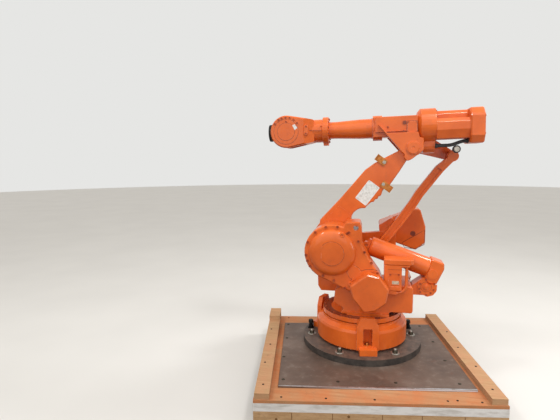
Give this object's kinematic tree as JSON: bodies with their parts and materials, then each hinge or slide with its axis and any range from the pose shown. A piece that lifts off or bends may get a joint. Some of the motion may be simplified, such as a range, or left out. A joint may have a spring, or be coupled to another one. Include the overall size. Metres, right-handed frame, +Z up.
{
  "type": "industrial robot arm",
  "caption": "Articulated floor-standing robot arm with a parallel rod, counterweight and balancing cylinder, bolted to a round plate on a timber shipping skid.",
  "frame": {"origin": "on the floor, under the robot's vertical axis, on the underside of the skid's middle bearer", "axes": "+Z up, +X the way the arm points at rest, +Y the robot's left side"},
  "size_m": [1.6314, 1.5412, 1.8952],
  "materials": {
    "orange_enamel": "semi-gloss sprayed enamel over castings",
    "pale_timber": "rough sawn",
    "white_timber": "white-painted board",
    "plywood": "sheathing ply",
    "mill_steel": "dull hot-rolled sheet",
    "dark_plate": "dark mill scale",
    "yellow_steel": "yellow passivated",
    "black_rubber": "matt",
    "machined_steel": "machined"
  },
  "bodies": {
    "stand_and_base": {"bearer_rear": "pale_timber", "bearer_middle": "pale_timber", "bearer_front": "pale_timber", "rail_rear": "pale_timber", "rail_middle": "pale_timber", "rail_front": "white_timber", "skid_deck": "plywood", "batten_right": "pale_timber", "batten_left": "pale_timber", "deck_block": "pale_timber", "steel_deck_sheet": "mill_steel", "floor_plate": "dark_plate", "base_casting": "orange_enamel"},
    "turntable": {"turntable_frame": "orange_enamel", "left_gear_case": "orange_enamel", "left_hub_cap": "orange_enamel", "motor_2_housing": "orange_enamel", "right_gear_case": "orange_enamel", "motor_3": "orange_enamel", "motor_1_housing": "orange_enamel", "motor_1_lid": "orange_enamel", "conduit": "orange_enamel", "balance_cylinder": "orange_enamel", "cylinder_rear_housing": "orange_enamel", "cylinder_front_eye": "orange_enamel", "cylinder_bracket": "orange_enamel"},
    "lower_arm": {"lower_arm_casting": "orange_enamel", "upper_hose_bracket": "yellow_steel", "lower_hose_bracket": "yellow_steel"},
    "elbow_shaft": {"elbow_shaft": "orange_enamel"},
    "upper_arm": {"arm_house": "orange_enamel", "wrist_gear_drum": "orange_enamel", "motor_4": "orange_enamel", "motor_5": "orange_enamel", "motor_6": "orange_enamel", "rear_cap": "orange_enamel", "rear_ear": "orange_enamel", "motor_hose": "black_rubber", "hose_connector": "black_rubber"},
    "forearm": {"forearm_tube": "orange_enamel", "wrist_flange": "orange_enamel", "wrist_fork": "orange_enamel"},
    "wrist": {"tilt_housing": "orange_enamel"},
    "tool_flange": {"tool_flange": "machined_steel"},
    "crank": {"crank_casting": "orange_enamel", "counterweight": "orange_enamel"},
    "crank_pin": {"crank_pin": "machined_steel"},
    "tie_rod": {"tie_rod": "orange_enamel"}
  },
  "joints": [
    {"name": "axis_1", "type": "hinge", "parent": "stand_and_base", "child": "turntable", "pos_m": [0, 0, 0.4095], "axis": [0, 0, 1], "range_deg": [-156.2, 173.8]},
    {"name": "axis_2", "type": "hinge", "parent": "turntable", "child": "lower_arm", "pos_m": [0.2, 0, 0.9065], "axis": [0, 1, 0], "range_deg": [-26.9, 82]},
    {"name": "elbow_level", "type": "hinge", "parent": "lower_arm", "child": "elbow_shaft", "pos_m": [-0.33039, 0, 1.62119], "axis": [0, 1, 0], "range_deg": [-82, 26.9]},
    {"name": "axis_3", "type": "hinge", "parent": "elbow_shaft", "child": "upper_arm", "pos_m": [-0.33039, 0, 1.62119], "axis": [0, 1, 0], "range_deg": [-61.5, 26.9]},
    {"name": "crank_turn", "type": "hinge", "parent": "turntable", "child": "crank", "pos_m": [0.2, 0, 0.9065], "axis": [0, 1, 0], "range_deg": [-61.5, 26.9]},
    {"name": "crank_pin_level", "type": "hinge", "parent": "crank", "child": "crank_pin", "pos_m": [-0.10057, 0, 0.85035], "axis": [0, 1, 0], "range_deg": [-26.9, 61.5]},
    {"name": "rod_lean", "type": "hinge", "parent": "crank_pin", "child": "tie_rod", "pos_m": [-0.10057, 0, 0.85035], "axis": [0, 1, 0], "range_deg": [-26.9, 82]},
    {"name": "axis_4", "type": "hinge", "parent": "upper_arm", "child": "forearm", "pos_m": [-0.32646, 0, 1.77114], "axis": [0.9997, 0, -0.0262], "range_deg": [-200, 200]},
    {"name": "axis_5", "type": "hinge", "parent": "forearm", "child": "wrist", "pos_m": [0.55323, 0, 1.74811], "axis": [0, 1, 0], "range_deg": [-120, 120]},
    {"name": "axis_6", "type": "hinge", "parent": "wrist", "child": "tool_flange", "pos_m": [0.55323, 0, 1.74811], "axis": [0.9997, 0, -0.0262], "range_deg": [-400, 400]}
  ],
  "couplings": [
    {"joint": "elbow_level", "follows": "axis_2", "ratio": -1},
    {"joint": "crank_turn", "follows": "axis_3", "ratio": 1},
    {"joint": "crank_pin_level", "follows": "axis_3", "ratio": -1},
    {"joint": "rod_lean", "follows": "axis_2", "ratio": 1}
  ]
}
